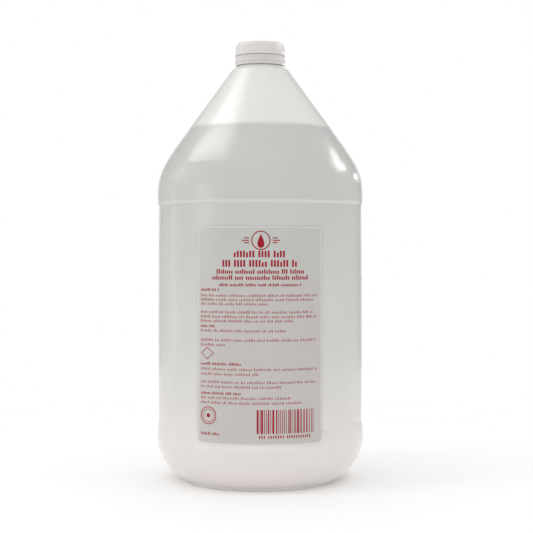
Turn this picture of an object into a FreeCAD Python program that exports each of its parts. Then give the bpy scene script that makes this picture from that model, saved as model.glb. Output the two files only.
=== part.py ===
import FreeCAD, Part
import math
import os

# One-gallon round oil bottle with a screw cap, standing upright.
# Millimetres. +Z is up, the label faces -Y, and the origin is the centre of the standing plane.

# Bottle body
WALL = 0.95
FOOT_INNER_RADIUS = 49.5
FOOT_OUTER_RADIUS = 56.4
FOOT_ROUND = 0.8
FOOT_STEP_HEIGHT = 1.9
FOOT_STEP_DEPTH = 0.6
HEEL_FOOT_RADIUS = 58.0
HEEL_FOOT_HEIGHT = 2.2
PUSH_UP_RADIUS = 44.0
PUSH_UP_HEIGHT = 5.0
HEEL_MIDDLE_RADIUS = 66.4
HEEL_MIDDLE_HEIGHT = 10.3
LOWER_BUMPER_RADIUS = 73.4
LOWER_BUMPER_HEIGHT = 29.5
PANEL_RADIUS = 72.0
PANEL_BULGE = 0.5
PANEL_BOTTOM = 41.5
PANEL_TOP = 193.0
UPPER_BUMPER_RADIUS = 72.9
UPPER_BUMPER_BOTTOM = 195.6
UPPER_BUMPER_TOP = 203.5
SHOULDER_RADIUS = 38.0
SHOULDER_LEAN = 29.5
CONE_BLEND_RADIUS = 160.0
CONE_LEAN = 36.0
CONE_TOP = 289.6
CONE_LIP_RADIUS = 4.0
CONE_LIP_LEAN = 70.0

# Neck finish: one turn of a six-per-inch right-hand thread
COLLAR_RADIUS = 17.0
COLLAR_BOTTOM = 291.7
COLLAR_TOP = 292.4
NECK_RADIUS = 14.6
BORE_RADIUS = 12.4
BORE_FOOT = 292.3
NECK_TOP = 306.6
NECK_CHAMFER = 0.6
BEAD_RADIUS = 15.6
BEAD_BOTTOM = 297.0
BEAD_FLAT = 0.8
BEAD_TOP = 299.2
THREAD_PITCH = 25.4 / 6
THREAD_HEIGHT = 1.2
THREAD_ROOT_HALF_WIDTH = 1.0
THREAD_CREST_HALF_WIDTH = 0.5
THREAD_BURY = 0.2
NECK_THREAD_START = 300.7
NECK_THREAD_TURNS = 1.07

# Screw cap
RADIAL_CLEARANCE = 0.3
CAP_TOP = 309.4
CAP_BOTTOM = 300.3
CAP_TOP_WALL = 2.1
CAP_TOP_RADIUS = 17.2
CAP_RADIUS = 17.5
CAP_EDGE_ROUND = 2.8
CAP_INNER_ROUND = 0.4
CAP_HEM_RADIUS = 17.95
CAP_HEM_HEIGHT = 0.9
CAP_RIB_MIDDLE = 303.7
CAP_RIB_HEIGHT = 0.8
CAP_RIB_PROUD = 0.22
CAP_THREAD_START_TURN = 0.62
CAP_THREAD_TURNS = 1.03
CAP_THREAD_LIFT = 0.5

# Foam liner in the cap
LINER_RADIUS = 14.3
LINER_BOTTOM = 306.65
LINER_TOP = 307.25

# Tamper-evident band and the bridges that hold it to the cap
BAND_BOTTOM = 293.2
BAND_TOP = 299.9
BAND_TOP_RADIUS = 17.4
BAND_BOTTOM_RADIUS = 17.7
BAND_INNER_RADIUS = 16.0
BAND_ROLL_MIDDLE = 296.4
BAND_ROLL_HEIGHT = 2.0
BAND_ROLL_PROUD = 0.35
BAND_LIP_RADIUS = 15.0
BAND_LIP_BOTTOM = 294.4
BAND_LIP_TOP = 296.2
BRIDGE_COUNT = 12
BRIDGE_WIDTH = 1.0
BRIDGE_DEPTH = 0.7
BRIDGE_MIDDLE_RADIUS = 16.8
BRIDGE_GAP = 0.02

# Label and oil
LABEL_HALF_ANGLE = 35.4
LABEL_BOTTOM = 33.5
LABEL_TOP = 178.0
LABEL_CORNER = 3.0
LABEL_GLUE_GAP = 0.02
LABEL_THICKNESS = 0.13
OIL_TOP = 248.0
OIL_GAP = 0.08

AXIS_POINT = FreeCAD.Vector(0, 0, 0)
UP = FreeCAD.Vector(0, 0, 1)


def at(radius, height):
    """A point of a half section, given by its radius and height."""
    return FreeCAD.Vector(radius, 0, height)


def lines(points):
    """Straight edges that join a list of points."""
    return [Part.makeLine(a, b) for a, b in zip(points, points[1:])]


def arc(start, middle, end):
    """An arc through three points."""
    return Part.Arc(start, middle, end).toShape()


def leaning_arc(start, lean_from, lean_to, radius):
    """An outward-bulging arc between two leans from the vertical, and the point where it ends."""
    centre = start - at(radius * math.cos(math.radians(lean_from)), radius * math.sin(math.radians(lean_from)))
    ends = []
    for lean in ((lean_from + lean_to) / 2, lean_to):
        angle = math.radians(lean)
        ends.append(centre + at(radius * math.cos(angle), radius * math.sin(angle)))
    return arc(start, ends[0], ends[1]), ends[1]


def turned(edges):
    """A solid of revolution about Z from the edges of a closed half section."""
    face = Part.Face(Part.Wire(Part.__sortEdges__(edges)))
    return face.revolve(AXIS_POINT, UP, 360)


def sidewall(proud):
    """The lower bumper and the label panel, moved outward by a small amount."""
    bumper = at(LOWER_BUMPER_RADIUS + proud, LOWER_BUMPER_HEIGHT)
    bumper_middle = at(LOWER_BUMPER_RADIUS - 0.35 + proud, LOWER_BUMPER_HEIGHT + 5)
    bumper_end = at(PANEL_RADIUS + 0.5 + proud, PANEL_BOTTOM - 2.5)
    panel_foot = at(PANEL_RADIUS + proud, PANEL_BOTTOM)
    panel_middle = at(PANEL_RADIUS + PANEL_BULGE + proud, (PANEL_BOTTOM + PANEL_TOP) / 2)
    panel_end = at(PANEL_RADIUS + proud, PANEL_TOP)
    return [
        arc(bumper, bumper_middle, bumper_end),
        Part.makeLine(bumper_end, panel_foot),
        arc(panel_foot, panel_middle, panel_end),
    ]


def body_skin(inset):
    """The body's half outline from the base centre to the top of the cone, moved inward by inset."""
    side = sidewall(-inset)
    bumper = side[0].firstVertex().Point
    foot_inner = at(FOOT_INNER_RADIUS, inset)
    foot_outer = at(FOOT_OUTER_RADIUS - inset / 2, inset)
    foot_side = at(FOOT_OUTER_RADIUS + FOOT_ROUND - inset, FOOT_ROUND + inset)
    foot_step = at(HEEL_FOOT_RADIUS - FOOT_STEP_DEPTH - inset, FOOT_STEP_HEIGHT + inset / 2)
    heel_foot = at(HEEL_FOOT_RADIUS - inset, HEEL_FOOT_HEIGHT + inset / 2)
    heel_middle = at(HEEL_MIDDLE_RADIUS - 0.77 * inset, HEEL_MIDDLE_HEIGHT + 0.64 * inset)
    base = lines([
        at(0, PUSH_UP_HEIGHT + inset),
        at(PUSH_UP_RADIUS, PUSH_UP_HEIGHT + inset),
        foot_inner,
        foot_outer,
        foot_side,
        foot_step,
        heel_foot,
    ])
    heel = arc(heel_foot, heel_middle, bumper)
    panel_end = side[-1].lastVertex().Point
    upper = lines([
        panel_end,
        at(UPPER_BUMPER_RADIUS - inset, UPPER_BUMPER_BOTTOM),
        at(UPPER_BUMPER_RADIUS - inset, UPPER_BUMPER_TOP),
    ])
    shoulder_start = upper[-1].lastVertex().Point
    shoulder, blend_start = leaning_arc(shoulder_start, 0, SHOULDER_LEAN, SHOULDER_RADIUS - inset)
    blend, cone_start = leaning_arc(blend_start, SHOULDER_LEAN, CONE_LEAN, CONE_BLEND_RADIUS - inset)
    cone_top = CONE_TOP - inset * 2
    cone_end = at(cone_start.x - (cone_top - cone_start.z) * math.tan(math.radians(CONE_LEAN)), cone_top)
    cone = Part.makeLine(cone_start, cone_end)
    return base + [heel] + side + upper + [shoulder, blend, cone], cone_end


def thread_ridge(root_radius, height, start, turns):
    """A helical ridge on a wall; a negative height points it inward."""
    bury = math.copysign(THREAD_BURY, height)
    rise = THREAD_PITCH * turns
    helix = Part.makeHelix(THREAD_PITCH, rise, root_radius)
    slope = (THREAD_ROOT_HALF_WIDTH - THREAD_CREST_HALF_WIDTH) / THREAD_HEIGHT
    foot = THREAD_ROOT_HALF_WIDTH + THREAD_BURY * slope
    section = Part.makePolygon([
        at(root_radius - bury, -foot),
        at(root_radius + height, -THREAD_CREST_HALF_WIDTH),
        at(root_radius + height, THREAD_CREST_HALF_WIDTH),
        at(root_radius - bury, foot),
        at(root_radius - bury, -foot),
    ])
    ridge = Part.Wire(helix).makePipeShell([section], True, True)
    ridge.translate(FreeCAD.Vector(0, 0, start))
    return ridge


def make_bottle():
    """Blow-moulded bottle: thin body, push-up base, cone and a threaded neck with a tamper bead."""
    outside, cone_end = body_skin(0)
    inside, inner_cone_end = body_skin(WALL)
    lip, lip_end = leaning_arc(cone_end, CONE_LEAN, CONE_LIP_LEAN, CONE_LIP_RADIUS)
    neck = lines([
        lip_end,
        at(COLLAR_RADIUS, COLLAR_BOTTOM),
        at(COLLAR_RADIUS, COLLAR_TOP),
        at(NECK_RADIUS, COLLAR_TOP),
        at(NECK_RADIUS, BEAD_BOTTOM),
        at(BEAD_RADIUS, BEAD_BOTTOM),
        at(BEAD_RADIUS, BEAD_BOTTOM + BEAD_FLAT),
        at(NECK_RADIUS, BEAD_TOP),
        at(NECK_RADIUS, NECK_TOP - NECK_CHAMFER),
        at(NECK_RADIUS - NECK_CHAMFER, NECK_TOP),
        at(BORE_RADIUS, NECK_TOP),
        at(BORE_RADIUS, BORE_FOOT),
    ])
    bore_foot = at(BORE_RADIUS, BORE_FOOT)
    throat_middle = (bore_foot + inner_cone_end) * 0.5 + at(-0.9, -1.0)
    throat = arc(bore_foot, throat_middle, inner_cone_end)
    base_web = Part.makeLine(at(0, PUSH_UP_HEIGHT), at(0, PUSH_UP_HEIGHT + WALL))
    shell = turned(outside + [lip] + neck + [throat] + inside + [base_web])
    thread = thread_ridge(NECK_RADIUS, THREAD_HEIGHT, NECK_THREAD_START, NECK_THREAD_TURNS)
    return shell.fuse(thread)


def make_oil():
    """The oil, filling the bottle up to its level."""
    skin, cone_end = body_skin(WALL + OIL_GAP)
    rim = at(cone_end.x, cone_end.z)
    top = at(0, cone_end.z)
    centre = at(0, PUSH_UP_HEIGHT + WALL + OIL_GAP)
    full = turned(skin + [Part.makeLine(rim, top), Part.makeLine(top, centre)])
    return full.common(Part.makeCylinder(2 * PANEL_RADIUS, OIL_TOP))


def make_label():
    """Paper label with round corners, wrapped on the front of the panel."""
    near = sidewall(LABEL_GLUE_GAP)
    far = sidewall(LABEL_GLUE_GAP + LABEL_THICKNESS)
    ends = [
        Part.makeLine(near[0].firstVertex().Point, far[0].firstVertex().Point),
        Part.makeLine(near[-1].lastVertex().Point, far[-1].lastVertex().Point),
    ]
    sleeve = turned(near + far + ends)
    half_width = PANEL_RADIUS * math.sin(math.radians(LABEL_HALF_ANGLE))
    window = Part.makeBox(
        2 * half_width, 2 * PANEL_RADIUS, LABEL_TOP - LABEL_BOTTOM,
        FreeCAD.Vector(-half_width, -2 * PANEL_RADIUS, LABEL_BOTTOM),
    )
    upright = [e for e in window.Edges if abs(e.Vertexes[0].Y - e.Vertexes[-1].Y) > PANEL_RADIUS]
    return sleeve.common(window.makeFillet(LABEL_CORNER, upright))


def make_cap():
    """Screw cap: smooth side with one thin rib, a hem at its foot and a thread inside."""
    inner = NECK_RADIUS + THREAD_HEIGHT + RADIAL_CLEARANCE
    ceiling = CAP_TOP - CAP_TOP_WALL
    rib_foot = at(CAP_RADIUS, CAP_RIB_MIDDLE - CAP_RIB_HEIGHT / 2)
    rib_crest = at(CAP_RADIUS + CAP_RIB_PROUD, CAP_RIB_MIDDLE)
    rib_head = at(CAP_RADIUS - 0.05, CAP_RIB_MIDDLE + CAP_RIB_HEIGHT / 2)
    hem_foot = at(CAP_HEM_RADIUS - 0.2, CAP_BOTTOM)
    hem_crest = at(CAP_HEM_RADIUS, CAP_BOTTOM + CAP_HEM_HEIGHT / 3)
    hem_head = at(CAP_RADIUS, CAP_BOTTOM + CAP_HEM_HEIGHT)
    round_foot = at(CAP_TOP_RADIUS, CAP_TOP - CAP_EDGE_ROUND)
    outer_round, round_head = leaning_arc(round_foot, 0, 90, CAP_EDGE_ROUND)
    inner_round, inner_head = leaning_arc(at(inner, ceiling - CAP_INNER_ROUND), 0, 90, CAP_INNER_ROUND)
    edges = [
        arc(hem_foot, hem_crest, hem_head),
        Part.makeLine(hem_head, rib_foot),
        arc(rib_foot, rib_crest, rib_head),
        Part.makeLine(rib_head, round_foot),
        outer_round,
        inner_round,
    ]
    edges += lines([round_head, at(0, CAP_TOP), at(0, ceiling), inner_head])
    edges += lines([at(inner, ceiling - CAP_INNER_ROUND), at(inner, CAP_BOTTOM), hem_foot])
    shell = turned(edges)
    start = NECK_THREAD_START + THREAD_PITCH * (CAP_THREAD_START_TURN - 0.5) + CAP_THREAD_LIFT
    thread = thread_ridge(inner, -THREAD_HEIGHT, start, CAP_THREAD_TURNS)
    thread.rotate(AXIS_POINT, UP, 360 * CAP_THREAD_START_TURN)
    return shell.fuse(thread)


def make_liner():
    """Foam disc that seals the neck under the cap."""
    return Part.makeCylinder(LINER_RADIUS, LINER_TOP - LINER_BOTTOM, at(0, LINER_BOTTOM))


def make_band():
    """Band left on the neck when the cap is first opened, with a lip under the neck's bead."""
    roll_foot = at(BAND_BOTTOM_RADIUS - 0.1, BAND_ROLL_MIDDLE - BAND_ROLL_HEIGHT / 2)
    roll_crest = at(BAND_BOTTOM_RADIUS - 0.1 + BAND_ROLL_PROUD, BAND_ROLL_MIDDLE)
    roll_head = at(BAND_BOTTOM_RADIUS - 0.15, BAND_ROLL_MIDDLE + BAND_ROLL_HEIGHT / 2)
    edges = lines([
        roll_head,
        at(BAND_TOP_RADIUS, BAND_TOP),
        at(BAND_INNER_RADIUS, BAND_TOP),
        at(BAND_INNER_RADIUS, BAND_LIP_TOP + 0.6),
        at(BAND_LIP_RADIUS, BAND_LIP_TOP),
        at(BAND_INNER_RADIUS, BAND_LIP_BOTTOM),
        at(BAND_INNER_RADIUS, BAND_BOTTOM),
        at(BAND_BOTTOM_RADIUS - 0.3, BAND_BOTTOM),
        at(BAND_BOTTOM_RADIUS, BAND_BOTTOM + 0.4),
        roll_foot,
    ])
    return turned(edges + [arc(roll_foot, roll_crest, roll_head)])


def make_bridges():
    """Thin breakable bridges under the cap's hem, as a group of separate solids."""
    bridge = Part.makeBox(
        BRIDGE_DEPTH, BRIDGE_WIDTH, CAP_BOTTOM - BAND_TOP - BRIDGE_GAP,
        FreeCAD.Vector(BRIDGE_MIDDLE_RADIUS - BRIDGE_DEPTH / 2, -BRIDGE_WIDTH / 2, BAND_TOP + BRIDGE_GAP),
    )
    bridges = []
    for number in range(BRIDGE_COUNT):
        copy = bridge.copy()
        copy.rotate(AXIS_POINT, UP, 360 / BRIDGE_COUNT * (number + 0.5))
        bridges.append(copy)
    return Part.makeCompound(bridges)


NODES = {
    "bottle": make_bottle,
    "oil": make_oil,
    "front_label": make_label,
    "screw_cap": make_cap,
    "cap_liner": make_liner,
    "tamper_band": make_band,
    "tamper_bridges": make_bridges,
}

os.makedirs("parts", exist_ok=True)
for name, make in NODES.items():
    shape = make()
    shape.exportStep(f"parts/{name}.step")
    print(f"{name}: {len(shape.Solids)} solid(s), {shape.Volume / 1000:.2f} cm3, valid {shape.isValid()}")
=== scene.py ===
import math
import random

import bpy
from mathutils import Matrix, Vector
from mathutils.bvhtree import BVHTree


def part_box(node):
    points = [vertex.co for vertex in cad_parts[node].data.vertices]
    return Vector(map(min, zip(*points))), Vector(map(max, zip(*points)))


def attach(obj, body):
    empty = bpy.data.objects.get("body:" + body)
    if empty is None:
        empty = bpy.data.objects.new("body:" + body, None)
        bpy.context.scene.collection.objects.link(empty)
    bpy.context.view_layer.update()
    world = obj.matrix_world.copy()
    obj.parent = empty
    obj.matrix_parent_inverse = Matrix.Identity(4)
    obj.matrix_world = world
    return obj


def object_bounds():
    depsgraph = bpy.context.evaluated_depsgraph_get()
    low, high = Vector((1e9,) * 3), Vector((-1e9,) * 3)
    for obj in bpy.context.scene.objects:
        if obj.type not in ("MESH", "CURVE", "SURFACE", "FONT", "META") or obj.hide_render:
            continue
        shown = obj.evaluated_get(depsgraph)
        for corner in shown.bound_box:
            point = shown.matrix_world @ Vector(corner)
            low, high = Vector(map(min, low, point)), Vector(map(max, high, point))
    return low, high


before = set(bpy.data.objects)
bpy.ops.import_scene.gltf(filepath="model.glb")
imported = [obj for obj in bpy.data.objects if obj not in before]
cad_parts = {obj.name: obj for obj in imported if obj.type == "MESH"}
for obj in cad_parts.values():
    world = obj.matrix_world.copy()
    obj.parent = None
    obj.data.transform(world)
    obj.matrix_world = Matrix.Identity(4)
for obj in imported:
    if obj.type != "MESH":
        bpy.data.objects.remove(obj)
cad_box = [list(corner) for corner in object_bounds()]
MM = 0.001


# ---------------------------------------------------------------------------------------------
# Bottle body. One blow moulding in natural (unpigmented) HDPE, about a millimetre thick. It is
# milky and lets the oil's level show through, with a satin skin and a slow ripple where the parison
# stretched. The mould's halves leave a parting line down each side and a pinch-off line below.
# ---------------------------------------------------------------------------------------------
HDPE_PALE = "#F3F4EF"
HDPE_SHADED = "#EBECE8"
# Painted warm light bouncing up from the table, mixed into the wall towards the base.
HDPE_PAINTED_BOUNCE_WARM = "#F3EDEA"
HDPE_IOR = 1.54
HDPE_ROUGHNESS = 0.20
# How milky the wall is, from 0 for see-through to 1: over the oil, at the thick base, above the
# oil's level, where air behind the wall scatters the light back, and at the fold under the shoulder,
# where the extra milkiness is a painted highlight line. A part of the milky share glows with light
# from the far side.
WALL_MILKY = 0.50
BASE_MILKY = 0.84
HEADSPACE_MILKY = 0.92
FOLD_PAINTED_HIGHLIGHT_MILKY = 0.63
GLOW_SHARE = 0.16
# Heights of those zones: up from the base, down from the neck's top, and the fold's half height
# where it starts and where it is full.
BASE_FADE_MM = 110.0
HEADSPACE_FADE_MM = (60.0, 56.0)
FOLD_DOWN_MM = 111.6
FOLD_HALF_MM = (1.7, 0.4)
RIPPLE_MM = 26.0
RIPPLE_DEPTH_MM = 0.20
RIPPLE_STRETCH = (1.0, 1.0, 0.4)
# The real satin is finer than a tenth of a millimetre. It is drawn coarser here, to show at all.
SATIN_GRAIN_MM = 0.9
SATIN_DEPTH_MM = 0.008
SEAM_WIDTH_MM = 0.5
SEAM_PROUD_MM = 0.12
SEAM_BURIED_MM = 0.03
SEAM_STEP_MM = 1.5
SEAM_FOOT_MM, SEAM_HEAD_MM = 3.0, 289.0
PINCH_LENGTH_MM = 76.0
PINCH_POINTS = 20
BELOW_FOOT_MM = 10.0
# Rays that look for the skin start at this distance from the axis, in metres, clear of the bottle.
CLEAR_OF_BOTTLE = 0.12


def linear(text):
    """An sRGB hex colour as linear red, green, blue and alpha."""
    parts = [int(text[i:i + 2], 16) / 255 for i in (1, 3, 5)]
    return [c / 12.92 if c <= 0.04045 else ((c + 0.055) / 1.055) ** 2.4 for c in parts] + [1.0]


def add_node(tree, kind, values=None, links=None, **settings):
    """Adds a node with its settings, its sockets' values and the sockets that feed it."""
    node = tree.nodes.new(kind)
    for name, value in settings.items():
        setattr(node, name, value)
    for socket, value in (values or {}).items():
        node.inputs[socket].default_value = value
    for socket, source in (links or {}).items():
        tree.links.new(source, node.inputs[socket])
    return node


def new_material(name):
    """An empty node material and its tree."""
    made = bpy.data.materials.new(name)
    made.use_nodes = True
    made.node_tree.nodes.clear()
    return made, made.node_tree


def wear(piece, material):
    """Gives a piece one material on all its slots."""
    if not piece.material_slots:
        piece.data.materials.append(material)
    for place in piece.material_slots:
        place.material = material


def new_piece(name, points, faces, material, slot):
    """A mesh piece that rides on the bottle, in the given material."""
    mesh = bpy.data.meshes.new(name)
    mesh.from_pydata(points, [], faces)
    piece = bpy.data.objects.new(name, mesh)
    bpy.context.scene.collection.objects.link(piece)
    wear(piece, material)
    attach(piece, "bottle")


def skin_of(node):
    """A CAD node's faces, ready for rays."""
    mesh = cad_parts[node].data
    corners = [vertex.co.copy() for vertex in mesh.vertices]
    return BVHTree.FromPolygons(corners, [list(face.vertices) for face in mesh.polygons])


def natural_hdpe():
    """Milky satin polyethylene: part diffuse, part glow from the far side, part see-through."""
    made, tree = new_material("natural_hdpe_blow_moulded")
    place = add_node(tree, "ShaderNodeTexCoord")
    drawn = add_node(
        tree, "ShaderNodeMapping", {"Scale": RIPPLE_STRETCH}, {"Vector": place.outputs["Object"]},
    )
    ripple = add_node(
        tree, "ShaderNodeTexNoise", {"Scale": 1 / (RIPPLE_MM * MM), "Detail": 2.0, "Roughness": 0.45},
        {"Vector": drawn.outputs[0]},
    )
    grain = add_node(
        tree, "ShaderNodeTexNoise", {"Scale": 1 / (SATIN_GRAIN_MM * MM), "Detail": 2.0},
        {"Vector": place.outputs["Object"]},
    )
    rippled = add_node(
        tree, "ShaderNodeBump", {"Strength": 1.0, "Distance": RIPPLE_DEPTH_MM * MM},
        {"Height": ripple.outputs["Fac"]},
    )
    skin = add_node(
        tree, "ShaderNodeBump", {"Strength": 1.0, "Distance": SATIN_DEPTH_MM * MM},
        {"Height": grain.outputs["Fac"], "Normal": rippled.outputs[0]},
    )
    height = add_node(tree, "ShaderNodeSeparateXYZ", {}, {"Vector": place.outputs["Object"]})
    low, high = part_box("bottle")
    base = add_node(
        tree, "ShaderNodeMapRange",
        {"From Min": low.z + BASE_FADE_MM * MM, "From Max": low.z, "To Min": 0.0, "To Max": 1.0},
        {"Value": height.outputs["Z"]}, interpolation_type="SMOOTHSTEP",
    )
    headspace = add_node(
        tree, "ShaderNodeMapRange",
        {"From Min": high.z - HEADSPACE_FADE_MM[0] * MM, "From Max": high.z - HEADSPACE_FADE_MM[1] * MM,
         "To Min": WALL_MILKY, "To Max": HEADSPACE_MILKY},
        {"Value": height.outputs["Z"]}, interpolation_type="SMOOTHSTEP",
    )
    above_fold = add_node(
        tree, "ShaderNodeMath", {1: high.z - FOLD_DOWN_MM * MM}, {0: height.outputs["Z"]},
        operation="SUBTRACT",
    )
    off_fold = add_node(tree, "ShaderNodeMath", {}, {0: above_fold.outputs[0]}, operation="ABSOLUTE")
    # A painted highlight line along the fold: the wall is drawn more milky, so paler, in this band.
    fold = add_node(
        tree, "ShaderNodeMapRange",
        {"From Min": FOLD_HALF_MM[0] * MM, "From Max": FOLD_HALF_MM[1] * MM, "To Min": 0.0, "To Max": 1.0},
        {"Value": off_fold.outputs[0]}, interpolation_type="SMOOTHSTEP",
    )
    with_fold_highlight = add_node(
        tree, "ShaderNodeMix", {"B": FOLD_PAINTED_HIGHLIGHT_MILKY}, {"Factor": fold.outputs[0], "A": headspace.outputs[0]},
    )
    share = add_node(
        tree, "ShaderNodeMix", {"B": BASE_MILKY},
        {"Factor": base.outputs[0], "A": with_fold_highlight.outputs["Result"]},
    )
    mottled = add_node(
        tree, "ShaderNodeMix", {"A": linear(HDPE_SHADED), "B": linear(HDPE_PALE)},
        {"Factor": ripple.outputs["Fac"]}, data_type="RGBA",
    )
    # Towards the base the wall turns warmer: painted light bouncing up from the table.
    tint = add_node(
        tree, "ShaderNodeMix", {"B": linear(HDPE_PAINTED_BOUNCE_WARM)},
        {"Factor": base.outputs[0], "A": mottled.outputs["Result"]}, data_type="RGBA",
    )
    plastic = add_node(
        tree, "ShaderNodeBsdfPrincipled", {"Roughness": HDPE_ROUGHNESS, "IOR": HDPE_IOR},
        {"Base Color": tint.outputs["Result"], "Normal": skin.outputs[0]},
    )
    glow = add_node(
        tree, "ShaderNodeBsdfTranslucent", {}, {"Color": tint.outputs["Result"], "Normal": skin.outputs[0]},
    )
    milky = add_node(
        tree, "ShaderNodeMixShader", {0: GLOW_SHARE}, {1: plastic.outputs[0], 2: glow.outputs[0]},
    )
    clear = add_node(tree, "ShaderNodeBsdfTransparent", {"Color": linear("#FFFFFF")})
    wall = add_node(
        tree, "ShaderNodeMixShader", {},
        {0: share.outputs["Result"], 1: clear.outputs[0], 2: milky.outputs[0]},
    )
    add_node(tree, "ShaderNodeOutputMaterial", {}, {"Surface": wall.outputs[0]})
    return made


hdpe = natural_hdpe()
wear(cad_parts["bottle"], hdpe)
bottle_skin = skin_of("bottle")
bottle_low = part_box("bottle")[0]


def ridge(crests, sideways, outward):
    """Points and faces of a three-sided ridge along a row of points on a skin."""
    half = sideways * SEAM_WIDTH_MM / 2 * MM
    buried = outward * -SEAM_BURIED_MM * MM
    points, faces = [], []
    for crest in crests:
        points += [crest - half + buried, crest + outward * SEAM_PROUD_MM * MM, crest + half + buried]
    for i in range(0, len(points) - 3, 3):
        faces += [(i, i + 1, i + 4, i + 3), (i + 1, i + 2, i + 5, i + 4), (i + 2, i, i + 3, i + 5)]
    last = len(points) - 3
    return points, faces + [(2, 1, 0), (last, last + 1, last + 2)]


seam_foot = bottle_low.z + SEAM_FOOT_MM * MM
seam_head = bottle_low.z + SEAM_HEAD_MM * MM
steps = int((seam_head - seam_foot) / (SEAM_STEP_MM * MM))
for name, side in (("parting_line_right", 1), ("parting_line_left", -1)):
    outward = Vector((side, 0, 0))
    rows = []
    for i in range(steps + 1):
        z = seam_foot + (seam_head - seam_foot) * i / steps
        start = Vector((side * CLEAR_OF_BOTTLE, 0, z))
        rows.append(bottle_skin.ray_cast(start, -outward, CLEAR_OF_BOTTLE)[0])
    new_piece(name, *ridge(rows, Vector((0, side, 0)), outward), hdpe, "natural_hdpe")

rows = []
for i in range(PINCH_POINTS):
    across = (i / (PINCH_POINTS - 1) - 0.5) * PINCH_LENGTH_MM * MM
    start = Vector((across, 0, bottle_low.z - BELOW_FOOT_MM * MM))
    rows.append(bottle_skin.ray_cast(start, Vector((0, 0, 1)), CLEAR_OF_BOTTLE)[0])
new_piece("pinch_off_line", *ridge(rows, Vector((0, 1, 0)), Vector((0, 0, -1))), hdpe, "natural_hdpe")


# ---------------------------------------------------------------------------------------------
# Oil. A clear, nearly colourless blend, seen only through the milky wall. It darkens the bottle
# below its level. Its colour is painted by height: pale and warm at the base, as painted light coming
# up through the foot, fading darker towards the shoulder. It climbs the wall in a fine meniscus,
# with a few bubbles left from filling.
# ---------------------------------------------------------------------------------------------
# Painted light by height in mm above the base: the oil's colour through the wall, palest where light comes
# up through the foot.
OIL_PAINTED_LIGHT_COLOURS = (
    (0.0, "#ECE4E1"), (60.0, "#D2CECC"), (120.0, "#BABAB9"),
    (185.0, "#848C88"), (215.0, "#747674"), (246.0, "#928F9B"),
)
OIL_IOR = 1.47
OIL_ROUGHNESS = 0.12
OIL_OPACITY = 0.80
# Froth colours for the bubbles, also worn by the meniscus as a painted highlight along the level.
FROTH_AND_PAINTED_HIGHLIGHT_PALE = "#FBFBFA"
FROTH_AND_PAINTED_HIGHLIGHT_SHADED = "#E9EAE7"
FROTH_MM = 5.0
FROTH_ROUGHNESS = 0.15
# The meniscus in section: its rise and where its crest and its inner edge stand in from the wall.
MENISCUS_RISE_MM = 0.9
MENISCUS_CREST_MM = 0.765
MENISCUS_REACH_MM = 1.7
MENISCUS_DIP_MM = 0.05
MENISCUS_STEPS = 96
LEVEL_PROBE_MM = 0.1
# Bubbles are domes inside the meniscus, at a distance from it in shares of their size. Two in three
# gather at the front, within a spread in radians.
BUBBLES = 46
BUBBLE_SIZES_MM = (0.35, 0.95)
BUBBLE_STANDOFF = (1.0, 2.4)
BUBBLE_SIDES, BUBBLE_RINGS = 10, 4
FRONT = -math.pi / 2
FRONT_SPREAD = 0.30
random.seed(7)


def pale_oil():
    """Clear pale oil, drawn as a thin see-through skin whose colour by height paints the light from the
    foot.
    """
    made, tree = new_material("clear_pale_oil")
    place = add_node(tree, "ShaderNodeTexCoord")
    height = add_node(tree, "ShaderNodeSeparateXYZ", {}, {"Vector": place.outputs["Object"]})
    full = OIL_PAINTED_LIGHT_COLOURS[-1][0]
    depth = add_node(
        tree, "ShaderNodeMapRange", {"From Min": 0.0, "From Max": full * MM},
        {"Value": height.outputs["Z"]},
    )
    body = add_node(tree, "ShaderNodeValToRGB", {}, {"Fac": depth.outputs[0]})
    stops = body.color_ramp.elements
    stops[0].position, stops[0].color = 0.0, linear(OIL_PAINTED_LIGHT_COLOURS[0][1])
    stops[1].position, stops[1].color = 1.0, linear(OIL_PAINTED_LIGHT_COLOURS[-1][1])
    for at, colour in OIL_PAINTED_LIGHT_COLOURS[1:-1]:
        stops.new(at / full).color = linear(colour)
    surface = add_node(
        tree, "ShaderNodeBsdfPrincipled",
        {"Roughness": OIL_ROUGHNESS, "IOR": OIL_IOR, "Alpha": OIL_OPACITY},
        {"Base Color": body.outputs["Color"]},
    )
    add_node(tree, "ShaderNodeOutputMaterial", {}, {"Surface": surface.outputs[0]})
    return made


wear(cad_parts["oil"], pale_oil())


def oil_froth_and_painted_highlight():
    """Froth on the bubbles, and a painted highlight on the oil's edge, paler than the oil below."""
    made, tree = new_material("oil_froth_and_painted_meniscus_highlight")
    place = add_node(tree, "ShaderNodeTexCoord")
    froth = add_node(
        tree, "ShaderNodeTexNoise", {"Scale": 1 / (FROTH_MM * MM), "Detail": 2.0},
        {"Vector": place.outputs["Object"]},
    )
    tint = add_node(
        tree, "ShaderNodeMix", {"A": linear(FROTH_AND_PAINTED_HIGHLIGHT_SHADED), "B": linear(FROTH_AND_PAINTED_HIGHLIGHT_PALE)},
        {"Factor": froth.outputs["Fac"]}, data_type="RGBA",
    )
    film = add_node(
        tree, "ShaderNodeBsdfPrincipled", {"Roughness": FROTH_ROUGHNESS, "IOR": OIL_IOR},
        {"Base Color": tint.outputs["Result"]},
    )
    add_node(tree, "ShaderNodeOutputMaterial", {}, {"Surface": film.outputs[0]})
    return made


froth_and_highlight_film = oil_froth_and_painted_highlight()
oil_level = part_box("oil")[1].z
below_level = Vector((CLEAR_OF_BOTTLE, 0, oil_level - LEVEL_PROBE_MM * MM))
level_hit = skin_of("oil").ray_cast(below_level, Vector((-1, 0, 0)), CLEAR_OF_BOTTLE)[0]
level_radius = level_hit.x - LEVEL_PROBE_MM * MM

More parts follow.
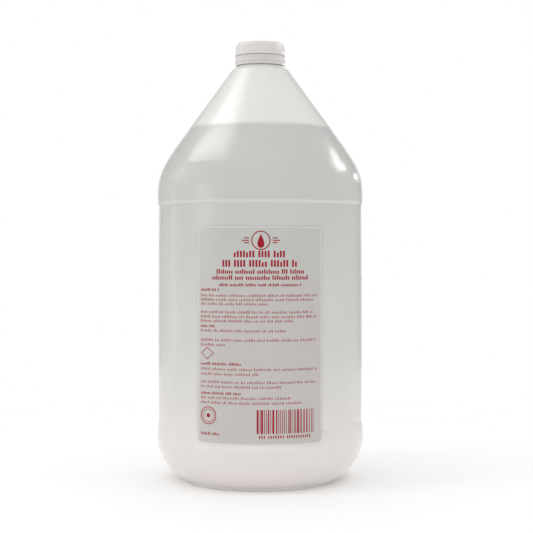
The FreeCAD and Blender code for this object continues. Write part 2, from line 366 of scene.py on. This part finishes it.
# The meniscus wears the pale froth colour: a painted highlight along the oil's level.
section = (
    (0.0, -MENISCUS_DIP_MM), (MENISCUS_CREST_MM, MENISCUS_RISE_MM), (MENISCUS_REACH_MM, -MENISCUS_DIP_MM),
)
points, faces = [], []
count = 3 * MENISCUS_STEPS
for i in range(MENISCUS_STEPS):
    turn = 2 * math.pi * i / MENISCUS_STEPS
    outward = Vector((math.cos(turn), math.sin(turn), 0))
    for inward, rise in section:
        points.append(outward * (level_radius - inward * MM) + Vector((0, 0, oil_level + rise * MM)))
    for k in range(3):
        a, b = 3 * i + k, 3 * i + (k + 1) % 3
        faces.append((a, b, (b + 3) % count, (a + 3) % count))
new_piece("oil_meniscus", points, faces, froth_and_highlight_film, "oil")

points, faces = [], []
for i in range(BUBBLES):
    size = random.uniform(*BUBBLE_SIZES_MM) * MM
    turn = random.gauss(FRONT, FRONT_SPREAD) if i % 3 else random.uniform(0, 2 * math.pi)
    reach = level_radius - MENISCUS_REACH_MM * MM - size * random.uniform(*BUBBLE_STANDOFF)
    centre = Vector((reach * math.cos(turn), reach * math.sin(turn), oil_level))
    first = len(points)
    for r in range(BUBBLE_RINGS):
        lift = math.pi / 2 * r / BUBBLE_RINGS
        for k in range(BUBBLE_SIDES):
            around = 2 * math.pi * k / BUBBLE_SIDES
            points.append(centre + size * Vector((
                math.cos(lift) * math.cos(around), math.cos(lift) * math.sin(around), math.sin(lift),
            )))
            if r:
                low_ring = first + (r - 1) * BUBBLE_SIDES
                a, b = low_ring + k, low_ring + (k + 1) % BUBBLE_SIDES
                faces.append((a, b, b + BUBBLE_SIDES, a + BUBBLE_SIDES))
    points.append(centre + Vector((0, 0, size)))
    top = first + (BUBBLE_RINGS - 1) * BUBBLE_SIDES
    faces += [(top + k, top + (k + 1) % BUBBLE_SIDES, len(points) - 1) for k in range(BUBBLE_SIDES)]
    faces.append(tuple(first + k for k in reversed(range(BUBBLE_SIDES))))
new_piece("oil_bubbles", points, faces, froth_and_highlight_film, "oil")


# ---------------------------------------------------------------------------------------------
# Front label. A die-cut self-adhesive film, satin and pale grey, glued to the panel, drawn warmer
# below its top as painted light bouncing up from the table. A thin pale strip along its edge is a
# painted highlight, where the cut film catches the light.
# ---------------------------------------------------------------------------------------------
FILM_PALE = "#BABBB6"
FILM_SHADED = "#B2B3AE"
# Warmer film colours for the lower part: painted light bouncing up from the table.
FILM_PAINTED_BOUNCE_PALE = "#BAB5B2"
FILM_PAINTED_BOUNCE_SHADED = "#B3AEAB"
# A painted highlight: the pale colour of the strip along the cut edge.
FILM_EDGE_PAINTED_HIGHLIGHT = "#D2D2CE"
FILM_PAINTED_BOUNCE_BELOW_MM = 110.0
FILM_IOR = 1.49
FILM_ROUGHNESS = 0.42
FILM_MOTTLE_MM = 9.0
FILM_RELIEF_MM = 0.02
EDGE_WIDTH_MM = 0.5
EDGE_INSET_MM = 0.15
EDGE_PROUD_MM = 0.03
EDGE_CORNER_MM = 3.0
CORNER_STEPS = 6
# Print and edges are split into short stretches, so that they follow the panel's curve, and are sunk
# a little into the film.
STRIP_STEP_MM = 3.0
STRIP_BURIED_MM = 0.01
CLEAR_OF_LABEL = 0.1

label_low, label_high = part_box("front_label")
label_skin = skin_of("front_label")
label_radius = -label_low.y
label_top = label_high.z / MM
label_bottom = label_low.z / MM
label_half_width = label_radius / MM * math.asin(label_high.x / label_radius)


def on_label(across, height, proud):
    """The point on the label's face at a distance round from its centre line and a height, in mm."""
    angle = across * MM / label_radius
    outward = Vector((math.sin(angle), -math.cos(angle), 0))
    start = outward * CLEAR_OF_LABEL + Vector((0, 0, height * MM))
    return label_skin.ray_cast(start, -outward, CLEAR_OF_LABEL)[0] + outward * proud * MM


def printed(name, strips, proud, material):
    """Thin closed slabs on the label. Each strip is two rows of (across, height) points."""
    points, faces = [], []
    for side_a, side_b, closed in strips:
        first = len(points)
        for a, b in zip(side_a, side_b):
            for across, height in (a, b):
                points.append(on_label(across, height, -STRIP_BURIED_MM))
                points.append(on_label(across, height, proud))
        count = len(side_a)
        spans = count if closed else count - 1
        for i in range(spans):
            p = first + 4 * i
            q = first + 4 * ((i + 1) % count)
            faces += [(p + 1, q + 1, q + 3, p + 3), (p, p + 2, q + 2, q)]
            faces += [(p, q, q + 1, p + 1), (p + 2, p + 3, q + 3, q + 2)]
        if not closed:
            end = first + 4 * (count - 1)
            faces += [(first, first + 1, first + 3, first + 2), (end, end + 2, end + 3, end + 1)]
    new_piece(name, points, faces, material, "label_paper")


def block(left, right, low, high):
    """An upright printed block, split every few millimetres so that it follows the curve."""
    parts = max(1, math.ceil((right - left) / STRIP_STEP_MM))
    xs = [left + (right - left) * i / parts for i in range(parts + 1)]
    return [(x, low) for x in xs], [(x, high) for x in xs], False


def rounded_box(half_width, low, high, corner):
    """A rounded rectangle about the centre line, as a closed row of points."""
    row = []
    for cx, cz, turn in (
        (half_width - corner, high - corner, 0), (corner - half_width, high - corner, 90),
        (corner - half_width, low + corner, 180), (half_width - corner, low + corner, 270),
    ):
        arc = [math.radians(turn + 90 / CORNER_STEPS * i) for i in range(CORNER_STEPS + 1)]
        row += [(cx + corner * math.cos(a), cz + corner * math.sin(a)) for a in arc]
    return row


def paired(outer, inner):
    """Splits two matching closed rows at the same places, for a strip between them."""
    rows_a, rows_b = [], []
    for i, a in enumerate(outer):
        b = outer[(i + 1) % len(outer)]
        c, d = inner[i], inner[(i + 1) % len(inner)]
        parts = max(1, math.ceil(math.dist(a, b) / STRIP_STEP_MM))
        for n in range(parts):
            t = n / parts
            rows_a.append((a[0] + (b[0] - a[0]) * t, a[1] + (b[1] - a[1]) * t))
            rows_b.append((c[0] + (d[0] - c[0]) * t, c[1] + (d[1] - c[1]) * t))
    return rows_a, rows_b


def label_film(name, pale, shaded, bounce_pale, bounce_shaded):
    """Satin film with a faint mottle from the glue beneath, and painted warm bounce light below its top."""
    made, tree = new_material(name)
    place = add_node(tree, "ShaderNodeTexCoord")
    mottle = add_node(
        tree, "ShaderNodeTexNoise", {"Scale": 1 / (FILM_MOTTLE_MM * MM), "Detail": 3.0, "Roughness": 0.6},
        {"Vector": place.outputs["Object"]},
    )
    tints = [
        add_node(
            tree, "ShaderNodeMix", {"A": linear(a), "B": linear(b)},
            {"Factor": mottle.outputs["Fac"]}, data_type="RGBA",
        )
        for a, b in ((bounce_shaded, bounce_pale), (shaded, pale))
    ]
    height = add_node(tree, "ShaderNodeSeparateXYZ", {}, {"Vector": place.outputs["Object"]})
    # The lower film takes the warmer colours: painted bounce light from below.
    up = add_node(
        tree, "ShaderNodeMapRange", {"From Min": FILM_PAINTED_BOUNCE_BELOW_MM * MM, "From Max": label_high.z},
        {"Value": height.outputs["Z"]}, interpolation_type="SMOOTHSTEP",
    )
    tint = add_node(
        tree, "ShaderNodeMix", {},
        {"Factor": up.outputs[0], "A": tints[0].outputs["Result"], "B": tints[1].outputs["Result"]},
        data_type="RGBA",
    )
    relief = add_node(
        tree, "ShaderNodeBump", {"Strength": 1.0, "Distance": FILM_RELIEF_MM * MM},
        {"Height": mottle.outputs["Fac"]},
    )
    film = add_node(
        tree, "ShaderNodeBsdfPrincipled", {"Roughness": FILM_ROUGHNESS, "IOR": FILM_IOR},
        {"Base Color": tint.outputs["Result"], "Normal": relief.outputs[0]},
    )
    add_node(tree, "ShaderNodeOutputMaterial", {}, {"Surface": film.outputs[0]})
    return made


wear(
    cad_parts["front_label"],
    label_film("label_satin_film", FILM_PALE, FILM_SHADED, FILM_PAINTED_BOUNCE_PALE, FILM_PAINTED_BOUNCE_SHADED),
)
outer_edge = rounded_box(
    label_half_width - EDGE_INSET_MM, label_bottom + EDGE_INSET_MM, label_top - EDGE_INSET_MM,
    EDGE_CORNER_MM,
)
edge_inside = EDGE_INSET_MM + EDGE_WIDTH_MM
inner_edge = rounded_box(
    label_half_width - edge_inside, label_bottom + edge_inside, label_top - edge_inside,
    EDGE_CORNER_MM - EDGE_WIDTH_MM,
)
# A pale strip just inside the label's rim: a painted highlight where the cut edge catches the light.
printed(
    "painted_highlight_label_edge", [(*paired(outer_edge, inner_edge), True)], EDGE_PROUD_MM,
    label_film("painted_highlight_label_edge_film", FILM_EDGE_PAINTED_HIGHLIGHT, FILM_EDGE_PAINTED_HIGHLIGHT, FILM_EDGE_PAINTED_HIGHLIGHT, FILM_EDGE_PAINTED_HIGHLIGHT),
)


# ---------------------------------------------------------------------------------------------
# Print on the label, in one crimson ink laid down by flexographic plate. It carries no words:
# plain blocks stand where lines of type would, and plain signs where marks would.
# ---------------------------------------------------------------------------------------------
INK_CRIMSON = "#8A0019"
INK_THIN = "#9C0A2C"
INK_IOR = 1.3
INK_ROUGHNESS = 0.6
INK_PRESS_MM = 1.5
INK_PROUD_MM = 0.05
# Sizes and places below are in mm on the unrolled label, across from its centre line and down from
# its top. A line of type is words of a few narrow blocks, some tall and some short. A block's width,
# the gap after a word and the room left at the line's end are shares of the pitch, and a short
# block's height is a share of the type's size.
TEXT_LEFT = 2.6 - label_half_width
TEXT_SIZE = 1.8
TEXT_PITCH = 1.1
TEXT_TALL_SHARE = 0.35
BOLD_BLOCK, THIN_BLOCK, HEADING_BLOCK = 0.58, 0.40, 0.62
SHORT_HEIGHTS = (0.66, 0.74)
WORD_LENGTHS = (3, 11)
WORD_GAP = 0.9
LINE_END_ROOM = 0.6
HEADING_ASIDE = 0.5
# The emblem is a drop in a ring, with three dashes on either side. Each dash has a step up or down
# and a length. The drop's shares are of its size.
EMBLEM_ASIDE, EMBLEM_DOWN = 0.8, 9.2
EMBLEM_RADIUS, EMBLEM_RULE = 6.4, 0.7
DROP_SIZE, DROP_DOWN, DROP_STEPS = 8.0, 0.2, 18
DROP_HALF_WIDTH, DROP_HALF_HEIGHT, DROP_TAPER = 0.42, 0.6, 1.6
DASHES_START, DASH_HALF = 7.9, 0.35
DASHES = ((-1.6, 3.4), (0.0, 5.0), (1.6, 3.4))
ROUND_SIDES = 48
# Plain signs, a diamond and a target: distance in from the text's left edge and down, half width,
# half height, width of the rule, number of corners.
SIGNS = (
    (5.0, 84.3, 5.0, 4.2, 0.7, 4), (5.6, 125.8, 6.0, 6.0, 0.6, ROUND_SIDES),
    (5.6, 125.8, 4.4, 4.4, 0.35, ROUND_SIDES), (5.6, 125.8, 1.4, 1.4, 1.3, 24),
)
# Bars and the gaps between them are a few whole units wide.
BAR_UNIT = 0.42
BAR_UNITS, BAR_GAPS = (1, 1, 2, 3), (1, 1, 2, 2, 3)
BARS_LEFT, BARS_RIGHT = -2.0, 38.0
BARS_DOWN, BARS_FOOT = 121.2, 137.0
# A row of even blocks under the bars, where a code's figures would be.
FIGURES_LEFT, FIGURES_DOWN, FIGURES_WIDTH = -0.5, 138.2, 38.0
FIGURES_SIZE, FIGURES_PITCH, FIGURES_BLOCK, FIGURES_TALL_SHARE = 1.9, 1.6, 0.5, 1.0
# Centred heading lines: distance below the label's top, width, height, pitch of the blocks, share
# of full-height blocks.
HEADINGS = (
    (16.1, 36.0, 4.3, 2.1, 0.80), (22.2, 52.0, 4.5, 2.1, 0.80),
    (28.3, 60.5, 3.0, 1.5, 0.30), (32.3, 67.0, 3.0, 1.5, 0.30), (37.7, 57.0, 1.9, 1.1, 0.35),
)
# Lines of small type from the left margin: distance below the label's top, width, and whether bold.
PARAGRAPHS = (
    (41.1, 14.0, True), (44.8, 83.0, False), (47.6, 79.5, False), (50.4, 47.5, False),
    (55.8, 79.5, False), (58.9, 83.0, False), (61.7, 65.0, False),
    (65.2, 10.5, True), (68.2, 59.5, False),
    (74.4, 81.5, False), (77.6, 19.0, False),
    (90.3, 30.0, True), (93.7, 83.0, False), (97.0, 41.5, False),
    (102.3, 82.0, False), (105.4, 58.0, False),
    (109.8, 30.5, True), (112.8, 63.5, False), (116.0, 72.0, False),
    (136.9, 14.0, True),
)


def crimson_ink():
    """Flexographic ink: dull, a little uneven where the plate pressed lightly."""
    made, tree = new_material("crimson_flexographic_ink")
    place = add_node(tree, "ShaderNodeTexCoord")
    press = add_node(
        tree, "ShaderNodeTexNoise", {"Scale": 1 / (INK_PRESS_MM * MM), "Detail": 2.0},
        {"Vector": place.outputs["Object"]},
    )
    tint = add_node(
        tree, "ShaderNodeMix", {"A": linear(INK_CRIMSON), "B": linear(INK_THIN)},
        {"Factor": press.outputs["Fac"]}, data_type="RGBA",
    )
    ink = add_node(
        tree, "ShaderNodeBsdfPrincipled", {"Roughness": INK_ROUGHNESS, "IOR": INK_IOR},
        {"Base Color": tint.outputs["Result"]},
    )
    add_node(tree, "ShaderNodeOutputMaterial", {}, {"Surface": ink.outputs[0]})
    return made


def line_of_type(left, down, width, size, pitch, block_share, tall_share):
    """Blocks for one line of type: words of a few narrow upright blocks, tall and short."""
    strips = []
    x = left
    low = label_top - down - size
    end = left + width - pitch * LINE_END_ROOM
    while x < end:
        for _ in range(random.randint(*WORD_LENGTHS)):
            if x > end:
                break
            tall = size if random.random() < tall_share else size * random.choice(SHORT_HEIGHTS)
            strips.append(block(x, x + pitch * block_share, low, low + tall))
            x += pitch
        x += pitch * WORD_GAP
    return strips


ink = crimson_ink()
headings = []
for down, width, size, pitch, tall_share in HEADINGS:
    left = HEADING_ASIDE - width / 2
    headings += line_of_type(left, down, width, size, pitch, HEADING_BLOCK, tall_share)
printed("printed_headings", headings, INK_PROUD_MM, ink)

paragraphs = []
for down, width, bold in PARAGRAPHS:
    share = BOLD_BLOCK if bold else THIN_BLOCK
    paragraphs += line_of_type(TEXT_LEFT, down, width, TEXT_SIZE, TEXT_PITCH, share, TEXT_TALL_SHARE)
printed("printed_paragraphs", paragraphs, INK_PROUD_MM, ink)


def ring(across, height, half_width, half_height, rule, corners):
    """A closed outline with a number of corners, or a round one if it has many."""
    outer, inner = [], []
    for i in range(corners):
        turn = 2 * math.pi * i / corners
        for row, inset in ((outer, 0), (inner, rule)):
            aside = (half_width - inset) * math.sin(turn)
            up = (half_height - inset) * math.cos(turn)
            row.append((across + aside, height + up))
    return outer, inner, True


def drop(across, height, size):
    """A filled oil drop, as a strip between its left and right outline."""
    left, right = [], []
    for i in range(1, DROP_STEPS):
        turn = math.pi * i / DROP_STEPS
        half = size * DROP_HALF_WIDTH * math.sin(turn) * math.sin(turn / 2) ** DROP_TAPER
        up = size * DROP_HALF_HEIGHT * math.cos(turn)
        left.append((across - half, height + up))
        right.append((across + half, height + up))
    return left, right, False


emblem_height = label_top - EMBLEM_DOWN
emblem = [
    ring(EMBLEM_ASIDE, emblem_height, EMBLEM_RADIUS, EMBLEM_RADIUS, EMBLEM_RULE, ROUND_SIDES),
    drop(EMBLEM_ASIDE, emblem_height - DROP_DOWN, DROP_SIZE),
]
for side in (-1, 1):
    for step, length in DASHES:
        near = EMBLEM_ASIDE + side * DASHES_START
        left, right = sorted((near, near + side * length))
        middle_line = emblem_height + step
        emblem.append(block(left, right, middle_line - DASH_HALF, middle_line + DASH_HALF))
printed("printed_oil_drop_emblem", emblem, INK_PROUD_MM, ink)

signs = [
    ring(TEXT_LEFT + inward, label_top - down, half_width, half_height, rule, corners)
    for inward, down, half_width, half_height, rule, corners in SIGNS
]
printed("printed_plain_signs", signs, INK_PROUD_MM, ink)

bars = []
x = BARS_LEFT
while x < BARS_RIGHT:
    width = BAR_UNIT * random.choice(BAR_UNITS)
    bars.append(block(x, x + width, label_top - BARS_FOOT, label_top - BARS_DOWN))
    x += width + BAR_UNIT * random.choice(BAR_GAPS)
bars += line_of_type(
    FIGURES_LEFT, FIGURES_DOWN, FIGURES_WIDTH, FIGURES_SIZE, FIGURES_PITCH, FIGURES_BLOCK,
    FIGURES_TALL_SHARE,
)
printed("printed_bars", bars, INK_PROUD_MM, ink)


# ---------------------------------------------------------------------------------------------
# Screw cap, tamper-evident band and the bridges between them. One injection moulding in white
# polypropylene, low gloss, with the tool's fine satin on its skin. Light spreads a little way into
# it and softens its grooves, and a faint painted glow, given as emission, lightens them further.
# The band is drawn in a shade darker, as it sits in the cap's shadow.
# ---------------------------------------------------------------------------------------------
PP_WHITE = "#D3CFCC"
PP_SHADED = "#C6C2C0"
BAND_WHITE = "#CBC6C4"
BAND_SHADED = "#BDB8B6"
# Emission: a faint painted glow that lightens the shaded grooves and gaps.
PP_PAINTED_GLOW = 0.10
PP_SPREAD_SHARE = 0.5
PP_SPREAD_MM = 2.0
PP_IOR = 1.49
PP_ROUGHNESS = 0.30
PP_FLOW_MM = 7.0
PP_GRAIN_MM = 0.6
PP_GRAIN_DEPTH_MM = 0.006


def white_polypropylene(name, pale, shaded):
    """White moulding with a faint satin, slight flow shading, light spreading inside it and a painted glow.
    """
    made, tree = new_material(name)
    place = add_node(tree, "ShaderNodeTexCoord")
    flow = add_node(
        tree, "ShaderNodeTexNoise", {"Scale": 1 / (PP_FLOW_MM * MM), "Detail": 2.0},
        {"Vector": place.outputs["Object"]},
    )
    satin = add_node(
        tree, "ShaderNodeTexNoise", {"Scale": 1 / (PP_GRAIN_MM * MM), "Detail": 2.0},
        {"Vector": place.outputs["Object"]},
    )
    tint = add_node(
        tree, "ShaderNodeMix", {"A": linear(shaded), "B": linear(pale)},
        {"Factor": flow.outputs["Fac"]}, data_type="RGBA",
    )
    skin = add_node(
        tree, "ShaderNodeBump", {"Strength": 1.0, "Distance": PP_GRAIN_DEPTH_MM * MM},
        {"Height": satin.outputs["Fac"]},
    )
    plastic = add_node(
        tree, "ShaderNodeBsdfPrincipled",
        {"Roughness": PP_ROUGHNESS, "IOR": PP_IOR, "Subsurface Weight": PP_SPREAD_SHARE,
         "Subsurface Scale": PP_SPREAD_MM * MM, "Subsurface Radius": (1.0, 1.0, 1.0),
         "Emission Strength": PP_PAINTED_GLOW},
        {"Base Color": tint.outputs["Result"], "Emission Color": tint.outputs["Result"],
         "Normal": skin.outputs[0]},
    )
    add_node(tree, "ShaderNodeOutputMaterial", {}, {"Surface": plastic.outputs[0]})
    return made


cap_plastic = white_polypropylene("white_polypropylene_cap", PP_WHITE, PP_SHADED)
wear(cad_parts["screw_cap"], cap_plastic)
band_plastic = white_polypropylene("white_polypropylene_band", BAND_WHITE, BAND_SHADED)
for name in ("tamper_band", "tamper_bridges"):
    wear(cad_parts[name], band_plastic)


# ---------------------------------------------------------------------------------------------
# Cap liner. A disc of white closed-cell polyethylene foam, cut from sheet and held in the top of
# the cap, where it seals against the neck's rim. It is matt and faintly pitted.
# ---------------------------------------------------------------------------------------------
FOAM_PALE = "#F3F3F1"
FOAM_SHADED = "#E9E9E6"
FOAM_CELL_MM = 0.35
FOAM_PIT_MM = 0.03
FOAM_IOR = 1.5
FOAM_ROUGHNESS = 0.85


def liner_foam():
    """Fine closed-cell foam, matt and faintly pitted."""
    made, tree = new_material("white_polyethylene_foam")
    place = add_node(tree, "ShaderNodeTexCoord")
    cells = add_node(
        tree, "ShaderNodeTexVoronoi", {"Scale": 1 / (FOAM_CELL_MM * MM)},
        {"Vector": place.outputs["Object"]},
    )
    pits = add_node(
        tree, "ShaderNodeBump", {"Strength": 1.0, "Distance": FOAM_PIT_MM * MM},
        {"Height": cells.outputs["Distance"]},
    )
    tint = add_node(
        tree, "ShaderNodeMix", {"A": linear(FOAM_SHADED), "B": linear(FOAM_PALE)},
        {"Factor": cells.outputs["Distance"]}, data_type="RGBA",
    )
    foam = add_node(
        tree, "ShaderNodeBsdfPrincipled", {"Roughness": FOAM_ROUGHNESS, "IOR": FOAM_IOR},
        {"Base Color": tint.outputs["Result"], "Normal": pits.outputs[0]},
    )
    add_node(tree, "ShaderNodeOutputMaterial", {}, {"Surface": foam.outputs[0]})
    return made


wear(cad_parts["cap_liner"], liner_foam())


# ---------------------------------------------------------------------------------------------
# Studio. A white paper floor fading into a white surround, whose far side is flagged dark for
# reflections, so that the bottle's outline shows against it. Fill boxes light the walls, and boxes
# for gloss give the skin its streaks. The camera looks level, from just above the bottle's middle.
# ---------------------------------------------------------------------------------------------
# Distances here are in metres, unless their name says mm.
CAMERA_DISTANCE = 0.930
CAMERA_HEIGHT = 0.169
CAMERA_ASIDE = 0.0045
CAMERA_LENS_MM = 87.8
CAMERA_SENSOR_MM = 36.0
FRAMING_SHIFT = -0.0497
PAPER_PALE = "#FCFCFC"
PAPER_SHADED = "#FAFAF9"
PAPER_FIBRE_MM = 4.0
PAPER_IOR = 1.4
PAPER_ROUGHNESS = 0.9
FLOOR_RADIUS = 0.6
FLOOR_FADE = (0.10, 0.45)
FLOOR_SIDES = 64
# Strength of the surround along an axis from the camera's side, where it is a little dimmer, to the
# far side. The flag starts and is full at these cosines from the axis.
SURROUND_AXIS = (0.06, 0.93, 0.35)
SURROUND_FRONT, SURROUND_BACK = 0.86, 1.08
SURROUND_FLAGGED = 0.40
FLAG_FROM, FLAG_TO = 0.60, 0.95


def studio_floor():
    """Matt white paper, fading to nothing towards its rim."""
    made, tree = new_material("matt_white_paper_floor")
    place = add_node(tree, "ShaderNodeTexCoord")
    fibre = add_node(
        tree, "ShaderNodeTexNoise", {"Scale": 1 / (PAPER_FIBRE_MM * MM), "Detail": 2.0},
        {"Vector": place.outputs["Object"]},
    )
    tint = add_node(
        tree, "ShaderNodeMix", {"A": linear(PAPER_SHADED), "B": linear(PAPER_PALE)},
        {"Factor": fibre.outputs["Fac"]}, data_type="RGBA",
    )
    paper = add_node(
        tree, "ShaderNodeBsdfPrincipled", {"Roughness": PAPER_ROUGHNESS, "IOR": PAPER_IOR},
        {"Base Color": tint.outputs["Result"]},
    )
    gone = add_node(tree, "ShaderNodeBsdfTransparent", {"Color": linear("#FFFFFF")})
    reach = add_node(tree, "ShaderNodeVectorMath", {}, {0: place.outputs["Object"]}, operation="LENGTH")
    fade = add_node(
        tree, "ShaderNodeMapRange", {"From Min": FLOOR_FADE[0], "From Max": FLOOR_FADE[1]},
        {"Value": reach.outputs["Value"]}, interpolation_type="SMOOTHSTEP",
    )
    edge = add_node(
        tree, "ShaderNodeMixShader", {}, {0: fade.outputs[0], 1: paper.outputs[0], 2: gone.outputs[0]},
    )
    add_node(tree, "ShaderNodeOutputMaterial", {}, {"Surface": edge.outputs[0]})
    return made


turns = [2 * math.pi * i / FLOOR_SIDES for i in range(FLOOR_SIDES)]
rim = [(FLOOR_RADIUS * math.cos(turn), FLOOR_RADIUS * math.sin(turn), cad_box[0][2]) for turn in turns]
floor_mesh = bpy.data.meshes.new("floor")
floor_mesh.from_pydata(rim, [], [tuple(range(FLOOR_SIDES))])
floor = bpy.data.objects.new("floor", floor_mesh)
bpy.context.scene.collection.objects.link(floor)
wear(floor, studio_floor())


def soft_box(name, place, target, along, width, height, power, gives="all"):
    """An area light facing its target, its width along a direction. It may give gloss or fill only."""
    light = bpy.data.lights.new(name, "AREA")
    light.shape = "RECTANGLE"
    light.size = width
    light.size_y = height
    light.energy = power
    lamp = bpy.data.objects.new(name, light)
    lamp.location = place
    back = (Vector(place) - Vector(target)).normalized()
    up = back.cross(Vector(along)).normalized()
    lamp.rotation_euler = Matrix((up.cross(back), up, back)).transposed().to_euler()
    lamp.visible_camera = False
    lamp.visible_diffuse = gives != "gloss"
    lamp.visible_transmission = gives != "gloss"
    lamp.visible_glossy = gives != "fill"
    bpy.context.scene.collection.objects.link(lamp)


# Most boxes face a point inside the shoulder. Places and sizes are in metres, powers in watts.
shoulder = (0, 0, 0.22)
# The broad streak down the cone on the left, stronger at its lower end.
soft_box("left_strip_box", (-0.81, 0.06, 1.51), shoulder, (-0.42, 0.80, -0.42), 0.85, 0.60, 2.4, "gloss")
soft_box("left_low_box", (-0.95, 0.14, 1.40), shoulder, (-0.40, 0.81, -0.42), 1.05, 0.32, 5.8, "gloss")
# Plain fill on the walls, more from the left.
soft_box("left_fill_box", (-1.30, -0.45, 1.00), shoulder, (0, 1, 0), 0.60, 0.60, 3.5, "fill")
soft_box("right_fill_box", (1.30, -0.45, 0.90), shoulder, (0, 1, 0), 0.60, 0.60, 1.2, "fill")
# The streak down the cone on the right.
soft_box("right_strip_box", (1.18, 0.64, 0.96), shoulder, (-0.40, 0.85, -0.10), 0.50, 0.36, 5.5, "gloss")
# Faint sheens at the left shoulder and on the label.
soft_box("left_shoulder_box", (-1.37, 0.38, 0.73), shoulder, (0.27, 0.96, 0), 0.55, 0.55, 1.4, "gloss")
soft_box("left_card_box", (-1.25, -0.62, 0.20), shoulder, (0.44, -0.90, 0), 0.50, 0.60, 1.6, "gloss")
# A small glint on the right shoulder.
soft_box("right_glint_box", (0.93, 1.27, 0.50), shoulder, (-0.80, 0.60, 0), 0.12, 0.12, 0.8, "gloss")
# A faint sheen up the left of the panel.
soft_box("left_tall_box", (-1.30, 0.50, 0.12), shoulder, (0, 1, 0), 0.20, 0.35, 0.3, "gloss")
# Light from low in front for the heel, and the glow of the table under it.
soft_box("low_front_box", (0, -0.80, 0.02), (0, 0, 0.03), (1, 0, 0), 1.40, 0.04, 0.8)
soft_box("table_glow_box", (0, 0, 0.003), (0, 0, 0.50), (1, 0, 0), 1.40, 1.40, 2.5, "gloss")

world = bpy.data.worlds.new("white_surround")
world.use_nodes = True
around = world.node_tree
facing = add_node(around, "ShaderNodeTexCoord")
along = add_node(
    around, "ShaderNodeVectorMath", {1: SURROUND_AXIS}, {0: facing.outputs["Generated"]},
    operation="DOT_PRODUCT",
)
lit = add_node(
    around, "ShaderNodeMapRange",
    {"From Min": -1.0, "From Max": 1.0, "To Min": SURROUND_FRONT, "To Max": SURROUND_BACK},
    {"Value": along.outputs["Value"]},
)
flagged = add_node(
    around, "ShaderNodeMapRange",
    {"From Min": FLAG_FROM, "From Max": FLAG_TO, "To Min": SURROUND_FRONT, "To Max": SURROUND_FLAGGED},
    {"Value": along.outputs["Value"]}, interpolation_type="SMOOTHSTEP",
)
seen = add_node(around, "ShaderNodeLightPath")
bounced = add_node(
    around, "ShaderNodeMix", {},
    {"Factor": seen.outputs["Is Glossy Ray"], "A": lit.outputs[0], "B": flagged.outputs[0]},
)
strength = add_node(
    around, "ShaderNodeMix", {"B": 1.0},
    {"Factor": seen.outputs["Is Camera Ray"], "A": bounced.outputs["Result"]},
)
background = around.nodes["Background"]
background.inputs["Color"].default_value = (1, 1, 1, 1)
around.links.new(strength.outputs["Result"], background.inputs["Strength"])
bpy.context.scene.world = world
bpy.context.scene.view_settings.view_transform = "Standard"

camera_data = bpy.data.cameras.new("camera")
camera_data.lens = CAMERA_LENS_MM
camera_data.sensor_width = CAMERA_SENSOR_MM
camera_data.shift_y = FRAMING_SHIFT
camera = bpy.data.objects.new("camera", camera_data)
camera.location = (CAMERA_ASIDE, -CAMERA_DISTANCE, CAMERA_HEIGHT)
camera.rotation_euler = (math.radians(90), 0, 0)
bpy.context.scene.collection.objects.link(camera)
bpy.context.scene.camera = camera
